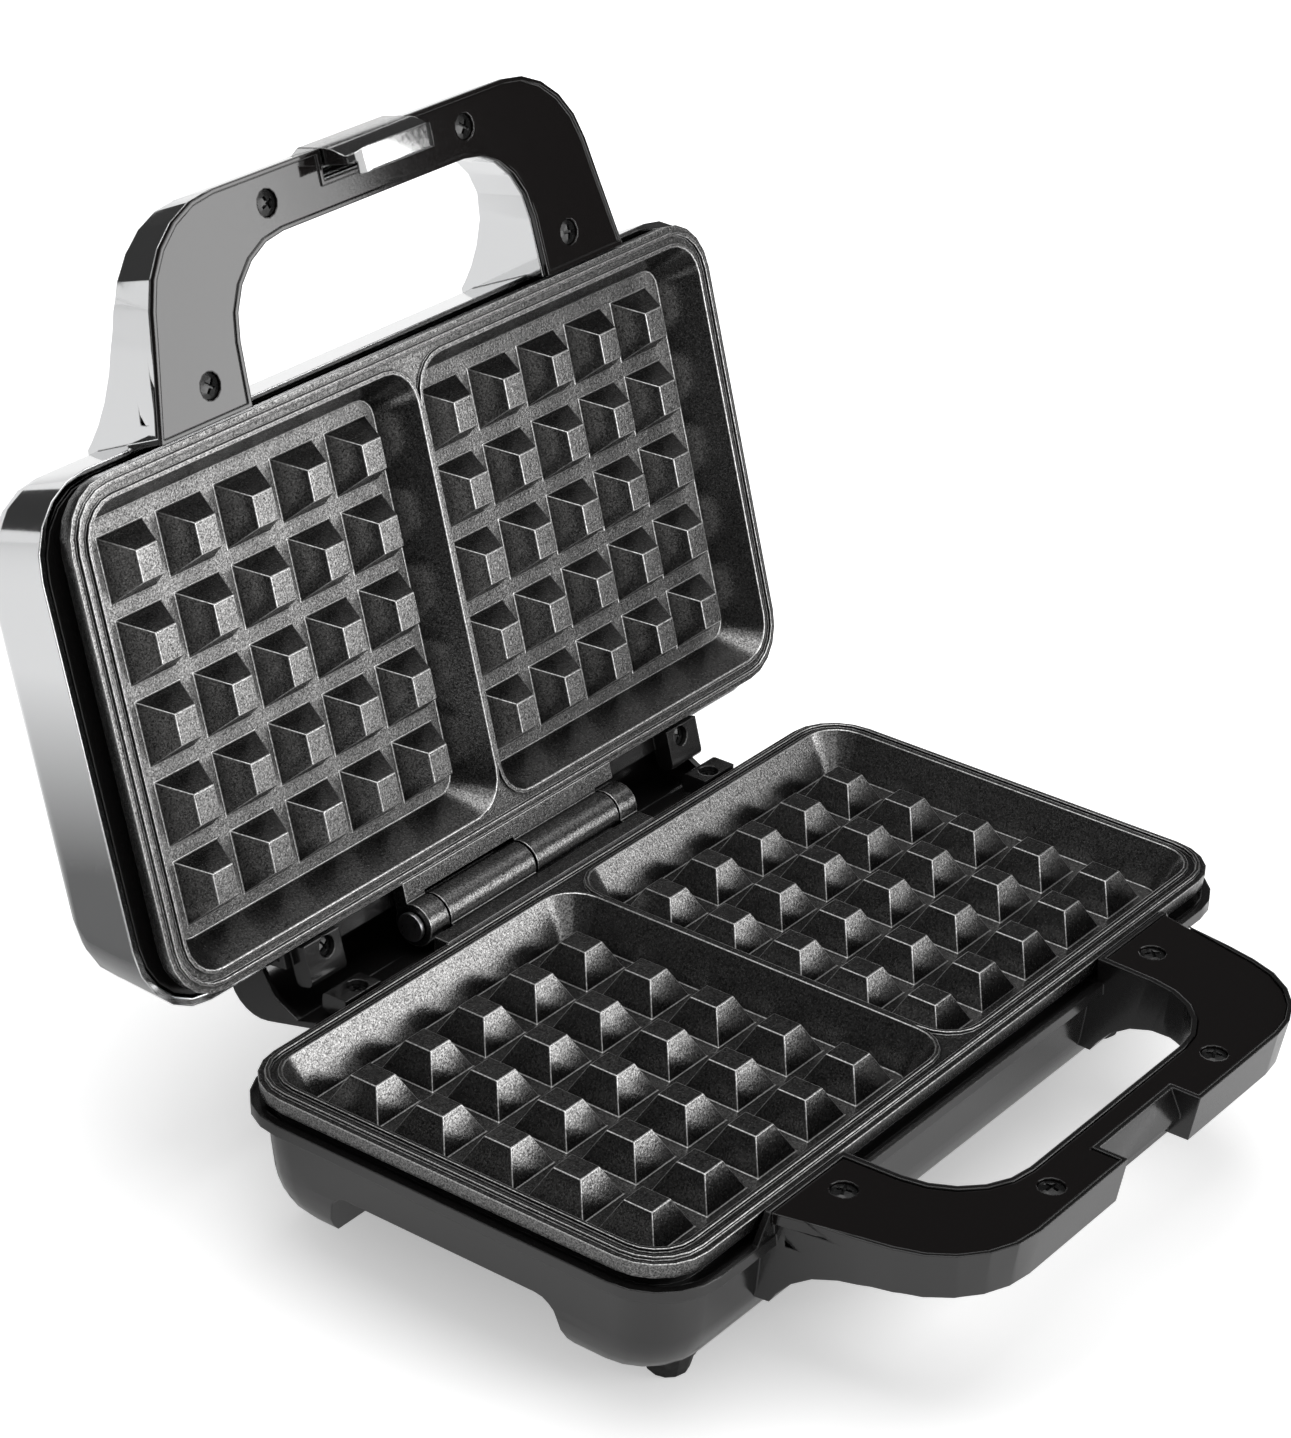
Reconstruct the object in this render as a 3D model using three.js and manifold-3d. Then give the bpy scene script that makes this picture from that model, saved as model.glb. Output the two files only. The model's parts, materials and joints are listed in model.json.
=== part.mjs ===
// Two-slice deep-fill waffle maker, lid open on its stop.
// Millimetres, +Z up, X along the hinge, handles towards -Y, standing on its feet at z = 0.
// Depths are measured from the parting plane, where the closed plates meet and the hinge axis lies.
// Lid pieces are drawn closed, above that plane, and their group is then turned open about the hinge.

import * as THREE from 'three';
import { mergeVertices } from 'three/addons/utils/BufferGeometryUtils.js';
import Module from 'manifold-3d';

const wasm = await Module();
wasm.setup();

// ---------------------------------------------------------------- driving dimensions
const standHeight = 44.5;        // table to parting plane
const openAngle = 105.9;         // degrees from closed to the open stop
const gap = 0.3;                 // clearance between pieces that touch
const over = 1;                  // how far a joined solid or a cutter runs past a face
const through = 60;              // longer than any hole
const cornerSteps = 5;           // facets in a quarter round

// cooking plates
const plateHalfWidth = 113;
const plateFront = -59.8;
const plateBack = 58.7;
const plateCorner = 14;
const plateGap = 0.3;            // parting plane to the ridge tops
const skirtDepth = 4.9;          // parting plane to the underside of the flange
const skirtDraft = 0.5;
const edgeStepDepth = 0.8;       // ridge tops to the step and groove beside them
const outerRidgeInset = 1.6;
const ridgeWidth = 1;
const pocketInset = 5.3;         // plate edge to pocket edge
const pocketCorner = 9;
const pocketFloorCorner = 5;
const pocketDepth = 10;          // parting plane to pocket floor
const pocketWallRun = 5.4;       // how far a pocket wall leans in
const dividerHalfWidth = 1;
const panWall = 1.5;             // metal behind a pocket wall
const floorThickness = 2.4;

// studs that press the waffle's cells
const studPitchX = 18.5;
const studPitchY = 18.7;
const studFirstX = 16.4;         // plate middle to the first column
const studColumns = 5;
const studRows = 5;
const studTopX = 6.6;
const studTopY = 7.4;
const studTopDepth = 2.7;        // parting plane to stud top
const studSpread = 3.8;          // how far each flank leans out
const studRoot = 1;              // depth to which a stud runs into the floor

// hinge
const hingeY = 68.6;
const knuckleRadius = 5.4;
const pinRadius = 2.2;
const knuckleStart = 0.4;        // plate middle to the long knuckle
const longKnuckle = 31.6;
const shortKnuckle = 6.6;
const knuckleGap = 0.6;
const pinHeadRadius = 3.6;
const pinHeadLength = 1.2;
const tongueFace = 0.7;          // parting plane to the tongue that carries the knuckles
const tongueThickness = 3.8;
const tongueClearance = 0.7;     // tongue to the other plate's knuckles

// base casing, its rim drawn outside the plate
const rimSideMargin = 1.3;
const rimFrontMargin = 2.4;
const rimBackMargin = 2.8;
const rimCorner = 17;
const rimDrop = 7.05;            // parting plane to the rim
const rimHeight = 2.8;
const rimThickness = 2.2;
const rimStep = 3.6;             // rim edge to the wall below it
const grooveDepth = 1.5;
const ledgeInset = 3.5;          // plate edge to the ledge under its flange
const ledgeWall = 2.2;
const ledgeHeight = 6.5;
const casingWall = 2.8;
const casingBottom = 38;         // parting plane to the rails' underside
const bottomInset = 13.2;        // how far the walls draw in at the front and sides
const bottomBackInset = 4.6;     // and at the nearly upright back
const bottomCorner = 13;
const cavityEase = 0.7;          // plate pan to the inside of the rim
const archFront = -27.7;
const archBack = 32.6;
const archLean = 5.5;            // slope of the arch's back end
const archCorner = 5;

// rubber feet
const footTopRadius = 6.2;
const footTipRadius = 4.8;
const footEdge = 0.8;
const footStemRadius = 2.6;
const footStemLength = 3.4;
const footBossWall = 0.8;
const footBossHeight = 7;
const frontFootInsetX = 26.3;    // from the rim
const frontFootInsetY = 19.4;
const rearFootInsetX = 33.7;
const rearFootInsetY = 15.5;

// handles, the same outline on both halves
const handleEdge = 0.7;          // parting plane to the moulding's edge
const coverFace = 1.1;           // parting plane to the cover
const coverThickness = 2.6;
const handleRoot = 0.6;          // plate to the handle's inner end
const handleRootHalf = 81.5;
const handleKneeHalf = 77;
const handleKneeReach = 20;      // root to the bend in the handle's side
const handleFrontHalf = 71;
const handleReach = 48.4;        // root to the front edge
const handleCorner = 26;
const handleDepth = 12.2;        // parting plane to the handle's back
const handleDraft = 1 / 6;
const gripRootHalf = 52.2;
const gripFrontHalf = 50.5;
const gripReach = 33.7;          // root to the front of the hand hole
const gripCorner = 20;
const gripDraft = 1 / 12;
const handleWall = 2.6;
const handleEndWall = 1;
const handleStock = 36;          // depth of the block that the handle is cut from
const handleLap = 10;            // how far its root runs into the casing
const rimLap = 0.5;              // and into the rim
const coverLedge = 0.8;          // the cover's seat along the channel
const beadWidth = 1.2;           // moulding's edge that frames the cover
const beadHeight = 1.2;          // bead of the upper cover, which covers the shell's edge
const beadMargin = 0.2;
const baseRise = 13;             // how much deeper the handle is at its root
const baseFade = 8.2;            // length over which that fades
const lidRise = 15.8;
const lidFade = 17.5;
const gussetWidth = 3.4;
const gussetThickness = 1.4;
const screwBossRadius = 3.3;
const screwHoleRadius = 1.3;
const screwHeadRadius = 3.2;
const screwHeadDepth = 1.2;
const armScrewX = 63.1;
const armScrewReach = 7.9;
const frontScrewX = 34.1;
const frontScrewReach = 40.9;

// latch
const notchHalfWidth = 15.2;
const notchDepth = 7.2;          // handle front to the notch's back wall
const notchClearance = 0.5;      // beside the latch
const latchPinReach = 3.8;       // handle front to the latch pin
const latchPinHeight = 7.6;
const latchPinRadius = 1.5;
const latchPinSeat = 4;          // pin's length in each cheek
const latchBarrelRadius = 2.8;
const latchSkin = 1.7;
const bridgeHeight = 11;         // parting plane to the bridge over the notch
const hookShelf = 7.9;           // parting plane to the hook's upper face
const hookSkin = 1.5;
const hookReach = 6.9;           // handle front to the hook's tip
const fingerLipRound = 5;        // corners of the flared lip that a finger lifts
const latchCheek = 1.2;
const latchCheekReach = 4.2;     // handle front to the edge of the latch's end cheeks
const latchNose = 0.2;           // how far the latch stands out of the handle
const catchReach = 2.6;          // lip beyond the notch's back wall
const catchTop = 1.4;
const catchNose = 1;             // height of the lip's blunt nose

// lid shell, drawn outside the plate
const shellSideMargin = 4.5;
const shellFrontMargin = 1.1;
const shellBackMargin = 3.3;
const shellCorner = 19;
const shellRim = 7.1;            // parting plane to the shell's open edge
const shellTop = 32;
const shellWall = 1.6;
const shellDraft = 3;
const shellRound = 7.5;
const shellCrown = 0.8;
const crownInset = 34;
const frameLip = 2.4;

// hood over the hinge, moulded with the lid's frame; heights from the parting plane
const hoodHalfWidth = 78;
const hoodWall = 1.6;
const hoodReach = 8.9;           // hinge axis to the hood's lip
const hoodLip = -2;
const hoodCheekEnd = 3.6;        // where the edge of the cheeks meets the hood's back
const hoodLean = 0.9;            // how far its back draws in on the way up
const hoodEave = 21.6;
const hoodRound = 9.5;
const hoodTop = 23;              // where the roof meets the shell
const hoodBrow = 12.4;           // edge of the cheeks at the shell
const hoodShoulderReach = 1.8;   // hinge axis to the bend in that edge
const hoodShoulder = 9.6;
const hoodShoulderRound = 6;

// hinge ears on both casings
const earInner = 62;
const earOuter = 74;
const earFace = 0.6;             // parting plane to each ear's face
const earRound = 1.5;
const baseEarReach = 7.7;        // plate to the back of the lower ear
const baseEarHeel = 3.5;         // back of the ear to the heel that joins it to the rim
const lidEarReach = 10.8;
const earHeight = 5.5;           // parting plane to each ear's far side
const earScrewX = 67;
const earScrewSpacing = 6.6;     // hinge axis to the ear's screw
const earScrewRadius = 2.6;
const earScrewDepth = 2;

// hidden parts
const heaterRadius = 2.5;
const heaterHalfX = 84;
const heaterHalfY = 36;
const heaterCorner = 16;
const heaterEndX = 14;
const heaterSides = 8;
const clampThickness = 0.8;
const clampWidth = 9;
const clampX = 46;
const clampTab = 7;
const trayInsetX = 13;           // plate's side to the reflector's
const trayMarginY = 10.2;        // heater's centre line to the reflector's front and back edges
const trayThickness = 0.6;
const trayRim = 3.4;
const trayFlare = 1;
const trayCorner = 8;
const sensorRadius = 8;
const sensorCap = 2.4;
const sensorStep = 1.5;
const fuseRadius = 2.2;
const fuseHalfLength = 7;
const fuseLead = 5;
const lensRadius = 3.4;
const lensStemRadius = 2.4;
const lensStemLength = 7;
const lensFlange = 1;
const lensFlangeWidth = 1.2;
const lensProud = 0.5;           // its side above the shell's crown
const lensDome = 1.1;
const lensX = 9;
const lensY = -34;
const blockHalfLength = 14;
const blockWidth = 4.4;
const blockHeight = 7;
const blockWays = 3;
const blockSlotWidth = 1.6;
const blockSlotDepth = 2.5;
const blockWellRadius = 1.3;
const blockWellDepth = 3.5;
const blockSpacing = 0.8;        // to the arch's wall
const glandX = 34;
const glandDepth = 29;
const glandRadius = 4.6;
const glandBore = 3.4;
const glandFlange = 6.4;
const glandLength = 7;
const glandProud = 2;
const glandBevel = 0.8;
const glandBossRim = 1;          // flat boss beyond the gland's flange
const glandBossRise = 1;         // and out of the back wall

// ---------------------------------------------------------------- sizes that follow
const handleRootY = plateFront - handleRoot;
const handleFrontY = handleRootY - handleReach;
const notchBackY = handleFrontY + notchDepth;
const panBottom = pocketDepth + floorThickness;
const heaterDepth = panBottom + gap + heaterRadius;
const clampDepth = heaterDepth + heaterRadius + gap + clampThickness;
const trayFace = clampDepth + gap;
const floorDepth = trayFace + trayThickness + gap;
const archDepth = floorDepth + casingWall;
const wallTop = rimDrop + rimHeight;
const coverSeat = coverFace + coverThickness + gap;
const shellHandleEdge = handleEdge + beadHeight + gap;
const pocketSlope = pocketWallRun / (pocketDepth - plateGap);
const panTopInset = pocketInset + pocketSlope * (skirtDepth - plateGap) - panWall;
const panBottomInset = pocketInset + pocketSlope * (panBottom - plateGap) - panWall;
const ledgeTop = skirtDepth + gap;
const ledgeBottom = ledgeTop + ledgeHeight;
const plateBox = { half: plateHalfWidth, front: plateFront, back: plateBack };
const rimBox = {
  half: plateHalfWidth + rimSideMargin,
  front: plateFront - rimFrontMargin,
  back: plateBack + rimBackMargin,
};
const shellBox = {
  half: plateHalfWidth + shellSideMargin,
  front: plateFront - shellFrontMargin,
  back: plateBack + shellBackMargin,
};
const earFront = plateBack + handleRoot;
const glandSeat = rimBox.back - rimStep + glandBossRise;
const handleScrews = [-1, 1].flatMap((side) => [
  [side * armScrewX, handleRootY - armScrewReach],
  [side * frontScrewX, handleRootY - frontScrewReach],
]);

// ---------------------------------------------------------------- outlines
// corners [x, y, radius, facets], each rounded by an arc where it has a radius
function rounded(corners, usualFacets = cornerSteps) {
  const points = [];
  corners.forEach(([x, y, radius = 0, facets = usualFacets], i) => {
    if (radius <= 0) {
      points.push([x, y]);
      return;
    }
    const corner = new THREE.Vector2(x, y);
    const [px, py] = corners[(i + corners.length - 1) % corners.length];
    const [nx, ny] = corners[(i + 1) % corners.length];
    const back = new THREE.Vector2(px - x, py - y).normalize();
    const ahead = new THREE.Vector2(nx - x, ny - y).normalize();
    const half = Math.acos(THREE.MathUtils.clamp(back.dot(ahead), -1, 1)) / 2;
    const inward = back.clone().add(ahead).normalize();
    const centre = corner.clone().addScaledVector(inward, radius / Math.sin(half));
    const start = corner.clone().addScaledVector(back, radius / Math.tan(half)).sub(centre).angle();
    const end = corner.clone().addScaledVector(ahead, radius / Math.tan(half)).sub(centre).angle();
    let turn = end - start;
    if (turn > Math.PI) turn -= 2 * Math.PI;
    if (turn < -Math.PI) turn += 2 * Math.PI;
    for (let k = 0; k <= facets; k += 1) {
      const angle = start + (turn * k) / facets;
      points.push([centre.x + radius * Math.cos(angle), centre.y + radius * Math.sin(angle)]);
    }
  });
  return points;
}

const rectangle = (x0, x1, y0, y1, radius = 0) => [
  [x0, y0, radius], [x1, y0, radius], [x1, y1, radius], [x0, y1, radius],
];

function boxOutline(box, inset, radius, steps = cornerSteps) {
  const x = box.half - inset;
  return rounded(rectangle(-x, x, box.front + inset, box.back - inset, radius), steps);
}

function pocketOutline(side, grow, radius) {
  const edges = [side * (dividerHalfWidth - grow), side * (plateHalfWidth - pocketInset + grow)];
  const front = plateFront + pocketInset - grow;
  const back = plateBack - pocketInset + grow;
  return rounded(rectangle(Math.min(...edges), Math.max(...edges), front, back, radius));
}

// the handle's outer edge, drawn in by inset, closed along y = rear
function handleOutline(inset, rear) {
  const left = [
    [-(handleRootHalf - inset), rear],
    [-(handleKneeHalf - inset), handleRootY - handleKneeReach, handleCorner, 2],
    [-(handleFrontHalf - inset), handleFrontY + inset, handleCorner - inset],
  ];
  const right = left.map(([x, ...rest]) => [-x, ...rest]).reverse();
  return rounded([...left, ...right]);
}

// the hand hole, widened by grow, closed along y = rear
function gripOutline(grow, rear) {
  const frontY = handleRootY - gripReach - grow;
  return rounded([
    [-(gripRootHalf + grow), rear],
    [-(gripFrontHalf + grow), frontY, gripCorner + grow],
    [gripFrontHalf + grow, frontY, gripCorner + grow],
    [gripRootHalf + grow, rear],
  ]);
}

// ---------------------------------------------------------------- solids
function volumeOf(positions, index) {
  let total = 0;
  const corner = (i) => new THREE.Vector3().fromArray(positions, 3 * index[i]);
  for (let i = 0; i < index.length; i += 3) total += corner(i).dot(corner(i + 1).cross(corner(i + 2)));
  return total;
}

function solid(geometry) {
  const bare = geometry.clone();
  bare.deleteAttribute('normal');
  bare.deleteAttribute('uv');
  const merged = mergeVertices(bare, 1e-4);
  const positions = merged.attributes.position.array;
  const index = Array.from(merged.index.array);
  if (volumeOf(positions, index) < 0) index.reverse();
  return new wasm.Manifold(new wasm.Mesh({
    numProp: 3,
    vertProperties: new Float32Array(positions),
    triVerts: new Uint32Array(index),
  }));
}

const joined = (...solids) => solids.flat().reduce((a, b) => a.add(b));
const cut = (body, ...tools) => tools.flat().reduce((a, b) => a.subtract(b), body);
const sides = (make) => [-1, 1].map(make);

// closed skin over rings of equally many points, capped flat at both ends
function skin(rings) {
  const count = rings[0].length;
  const last = (rings.length - 1) * count;
  const index = [];
  for (let k = 0; k + 1 < rings.length; k += 1) {
    for (let i = 0; i < count; i += 1) {
      const j = (i + 1) % count;
      const [a, b] = [k * count + i, k * count + j];
      index.push(a, b, b + count, a, b + count, a + count);
    }
  }
  const flat = rings[0].map((point) => new THREE.Vector2(point.u, point.v));
  THREE.ShapeUtils.triangulateShape(flat, []).forEach(([a, b, c]) => {
    index.push(c, b, a, last + a, last + b, last + c);
  });
  const geometry = new THREE.BufferGeometry();
  const positions = rings.flat().flatMap((point) => [point.x, point.y, point.z]);
  geometry.setAttribute('position', new THREE.Float32BufferAttribute(positions, 3));
  geometry.setIndex(index);
  return solid(geometry);
}

// levels [outline, z], from one end to the other
const loft = (...levels) => skin(levels.map(([outline, z]) => (
  outline.map(([x, y]) => ({ x, y, z, u: x, v: y }))
)));

const shapeOf = (points) => new THREE.Shape(points.map(([x, y]) => new THREE.Vector2(x, y)));

// upright slab over an outline, between two heights
function slab(outline, za, zb) {
  const depth = Math.abs(zb - za);
  const geometry = new THREE.ExtrudeGeometry(shapeOf(outline), { depth, bevelEnabled: false });
  geometry.translate(0, 0, Math.min(za, zb));
  return solid(geometry);
}

// outline in (x, z) run forwards from y
function panel(outline, y, depth) {
  const geometry = new THREE.ExtrudeGeometry(shapeOf(outline), { depth, bevelEnabled: false });
  geometry.rotateX(Math.PI / 2);
  geometry.translate(0, y, 0);
  return solid(geometry);
}

// profile in (y, z) run along X between two places
function bar(profile, xa, xb) {
  const depth = Math.abs(xb - xa);
  const geometry = new THREE.ExtrudeGeometry(shapeOf(profile), { depth, bevelEnabled: false });
  geometry.rotateZ(Math.PI / 2);
  geometry.rotateY(Math.PI / 2);
  geometry.translate(Math.min(xa, xb), 0, 0);
  return solid(geometry);
}

const block = (x0, x1, y0, y1, z0, z1) => slab(rectangle(x0, x1, y0, y1), z0, z1);

function rodAlongX(radius, xa, xb, y, z, facets = 18) {
  const geometry = new THREE.CylinderGeometry(radius, radius, Math.abs(xb - xa), facets);
  geometry.rotateZ(Math.PI / 2);
  geometry.translate((xa + xb) / 2, y, z);
  return solid(geometry);
}

// profile [radius, height] turned about an upright axis
function turned(profile, x = 0, y = 0, facets = 12) {
  const points = profile.map(([radius, height]) => new THREE.Vector2(radius, height));
  const geometry = new THREE.LatheGeometry(points, facets);
  geometry.rotateX(Math.PI / 2);
  geometry.translate(x, y, 0);
  return solid(geometry);
}

function post(radius, za, zb, x, y, facets = 12) {
  const [z0, z1] = [Math.min(za, zb), Math.max(za, zb)];
  return turned([[0, z0], [radius, z0], [radius, z1], [0, z1]], x, y, facets);
}

// ---------------------------------------------------------------- cooking plate
function stud(x, y) {
  const ring = (grow) => rectangle(
    x - studTopX / 2 - grow, x + studTopX / 2 + grow, y - studTopY / 2 - grow, y + studTopY / 2 + grow);
  return loft(
    [ring(0), -studTopDepth],
    [ring(studSpread), -pocketDepth],
    [ring(studSpread), -pocketDepth - studRoot],
  );
}

function studs() {
  const field = [];
  sides((side) => {
    for (let column = 0; column < studColumns; column += 1) {
      for (let row = 0; row < studRows; row += 1) {
        const x = side * (studFirstX + column * studPitchX);
        field.push(stud(x, (row - (studRows - 1) / 2) * studPitchY));
      }
    }
  });
  return joined(field);
}

function plate() {
  const stepLevel = -(plateGap + edgeStepDepth);
  const flange = loft(
    [boxOutline(plateBox, 0, plateCorner), stepLevel],
    [boxOutline(plateBox, skirtDraft, plateCorner - skirtDraft), -skirtDepth],
  );
  const ringEdge = (inset) => boxOutline(plateBox, inset, plateCorner - inset);
  const outerRidge = cut(
    slab(ringEdge(outerRidgeInset), stepLevel - over, -plateGap),
    slab(ringEdge(outerRidgeInset + ridgeWidth), stepLevel - 2 * over, over),
  );
  const pocketRidges = sides((side) => (
    slab(pocketOutline(side, ridgeWidth, pocketCorner + ridgeWidth), -skirtDepth, -plateGap)
  ));
  const crestFront = plateFront + pocketInset + pocketCorner;
  const crestBack = plateBack - pocketInset - pocketCorner;
  const crest = block(-dividerHalfWidth, dividerHalfWidth, crestFront, crestBack, -skirtDepth, -plateGap);
  const pan = loft(
    [boxOutline(plateBox, panTopInset, pocketCorner), over - skirtDepth],
    [boxOutline(plateBox, panTopInset, pocketCorner), -skirtDepth],
    [boxOutline(plateBox, panBottomInset, pocketFloorCorner + panWall), -panBottom],
  );
  const pockets = sides((side) => loft(
    [pocketOutline(side, 0, pocketCorner), over],
    [pocketOutline(side, 0, pocketCorner), -plateGap],
    [pocketOutline(side, -pocketWallRun, pocketFloorCorner), -pocketDepth],
  ));

  const reach = knuckleStart + longKnuckle + knuckleGap + shortKnuckle;
  const tongueBack = hingeY - knuckleRadius - tongueClearance;
  const tongueBottom = -(tongueFace + tongueThickness);
  const tongue = block(-reach, reach, plateBack - skirtDraft, tongueBack, tongueBottom, -tongueFace);
  const spans = [[-knuckleStart - longKnuckle, -knuckleStart], [reach - shortKnuckle, reach]];
  const knuckles = spans.map(([x0, x1]) => joined(
    rodAlongX(knuckleRadius, x0, x1, hingeY, 0),
    block(x0, x1, plateBack, hingeY, tongueBottom, -tongueFace),
  ));
  const body = joined(flange, outerRidge, pocketRidges, crest, pan, tongue, knuckles);
  const bore = rodAlongX(pinRadius + gap, -reach - over, reach + over, hingeY, 0);
  return joined(cut(body, pockets, bore), studs());
}

function hingePin() {
  const reach = knuckleStart + longKnuckle + knuckleGap + shortKnuckle + gap;
  return joined(
    rodAlongX(pinRadius, -reach - over, reach + over, hingeY, 0),
    sides((side) => rodAlongX(pinHeadRadius, side * reach, side * (reach + pinHeadLength), hingeY, 0)),
  );
}

// ---------------------------------------------------------------- handles
// side is -1 for the base half, +1 for the lid half
const handleBack = (y, rise, fade) => handleDepth + rise * Math.exp((y - handleRootY) / fade);

function handleBody(side, edge, rise, fade, rimLevel, rootRun) {
  const rear = handleRootY + handleLap;
  const outer = loft(
    [handleOutline(0, rear + over), 0],
    [handleOutline(handleStock * handleDraft, rear + over), side * handleStock],
  );
  const grip = loft(
    [gripOutline(-gripDraft * over, rear + 2 * over), -side * over],
    [gripOutline(handleStock * gripDraft, rear + 2 * over), side * (handleStock + over)],
  );
  const backEdge = [];
  const steps = 8;
  for (let k = 0; k <= steps; k += 1) {
    const y = handleRootY + rootRun - (handleReach + rootRun + over) * (k / steps) ** 1.6;
    backEdge.push([y, side * handleBack(y, rise, fade)]);
  }
  const profile = [
    [handleFrontY - over, side * edge],
    [handleRootY, side * edge],
    [handleRootY, side * (rimLevel + rimLap)],
    [rear, side * (rimLevel + rimLap)],
    [rear, backEdge[0][1]],
    ...backEdge,
  ];
  const half = handleRootHalf + over;
  return cut(outer, grip).intersect(bar(profile, -half, half));
}

// the cover's plan: the handle's, drawn in by inset and open at the notch
function coverPlan(inset, endInset, za, zb) {
  const rear = handleRootY - endInset;
  const notchHalf = notchHalfWidth + inset;
  return cut(
    slab(handleOutline(inset, rear), za, zb),
    slab(gripOutline(inset, rear + over), -through, through),
    block(-notchHalf, notchHalf, handleFrontY - over, notchBackY + inset, -through, through),
  );
}

// recess for the cover and the channel below it, with a boss under each screw
function handleHollow(side) {
  const channelDepth = handleDepth - handleWall;
  const channelInset = handleWall + coverLedge;
  const recess = coverPlan(beadWidth, handleEndWall, 0, side * coverSeat);
  const cheek = notchHalfWidth + latchPinSeat + handleWall;
  const channel = cut(
    coverPlan(channelInset, handleEndWall + handleWall, side * (coverSeat - over), side * channelDepth),
    block(-cheek, cheek, handleFrontY - over, handleRootY - gripReach + over, -through, through),
    handleScrews.map(([x, y]) => post(screwBossRadius, -through, through, x, y)),
  );
  const pilots = handleScrews.map(([x, y]) => post(screwHoleRadius, 0, side * channelDepth, x, y, 8));
  return [recess, channel, ...pilots];
}

// inlay with sunk screw heads; rimmed, it has a bead that lies over the moulding's edge
function handleCover(side, rimmed) {
  const face = side * coverFace;
  const inlay = coverPlan(beadWidth + gap, handleEndWall + gap, face, side * (coverFace + coverThickness));
  const bead = cut(
    coverPlan(beadMargin, 0, side * handleEdge, side * (handleEdge + beadHeight)),
    coverPlan(beadWidth, handleEndWall, 0, face),
  );
  return cut(
    rimmed ? joined(inlay, bead) : inlay,
    handleScrews.map(([x, y]) => post(screwHeadRadius, 0, side * (coverFace + screwHeadDepth), x, y)),
    handleScrews.map(([x, y]) => post(screwHoleRadius + gap, -through, through, x, y, 8)),
  );
}

// small web where the rim climbs to the handle's level
function gussets(side, edge, rimLevel) {
  const foot = side * (rimLevel + rimLap);
  return sides((end) => {
    const inner = handleRootHalf - gussetWidth;
    return panel([
      [end * inner, side * edge],
      [end * (handleRootHalf - over), side * edge],
      [end * (handleRootHalf + gussetWidth), foot],
      [end * inner, foot],
    ], handleRootY, gussetThickness);
  });
}

// ---------------------------------------------------------------- base casing
// share of the wall's lean and of its height, from the rim's step down to the bottom
const wallCurve = new THREE.SplineCurve([
  [0, 0], [0.17, 0.43], [0.31, 0.64], [0.58, 0.84], [1, 1],
].map(([lean, drop]) => new THREE.Vector2(lean, drop)));

function wallRings(extraInset, lift, leastInset) {
  return wallCurve.getPoints(6).map((share) => {
    const drawnIn = (bottom) => (
      Math.max(THREE.MathUtils.lerp(rimStep, bottom, share.x) + extraInset, leastInset)
    );
    const inset = drawnIn(bottomInset);
    const box = { ...rimBox, back: rimBox.back + inset - drawnIn(bottomBackInset) };
    const depth = wallTop + share.y * (casingBottom - lift - wallTop);
    const corner = THREE.MathUtils.lerp(rimCorner - rimStep, bottomCorner, share.x) - extraInset;
    return [boxOutline(box, inset, corner), -depth];
  });
}

const cavityInset = rimSideMargin + panTopInset - cavityEase;

function archProfile(grow, top) {
  const drop = -(casingBottom + over);
  const lean = archLean * (casingBottom + over - archDepth) / (casingBottom - archDepth);
  return rounded([
    [archFront - grow, drop],
    [archBack + lean + grow, drop],
    [archBack + grow, top, archCorner],
    [archFront - grow, top, archCorner],
  ], 4);
}

// ears of one half, from their profile in (y, z), each with a screw's recess in its face
function ears(side, profile) {
  const face = side * earFace;
  return sides((end) => cut(
    bar(rounded(profile, 3), end * earInner, end * earOuter),
    post(earScrewRadius, face - side * over, face + side * earScrewDepth, end * earScrewX,
      hingeY - earScrewSpacing),
  ));
}

const feet = [
  ['front_foot', rimBox.half - frontFootInsetX, rimBox.front + frontFootInsetY],
  ['rear_foot', rimBox.half - rearFootInsetX, rimBox.back - rearFootInsetY],
];

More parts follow.
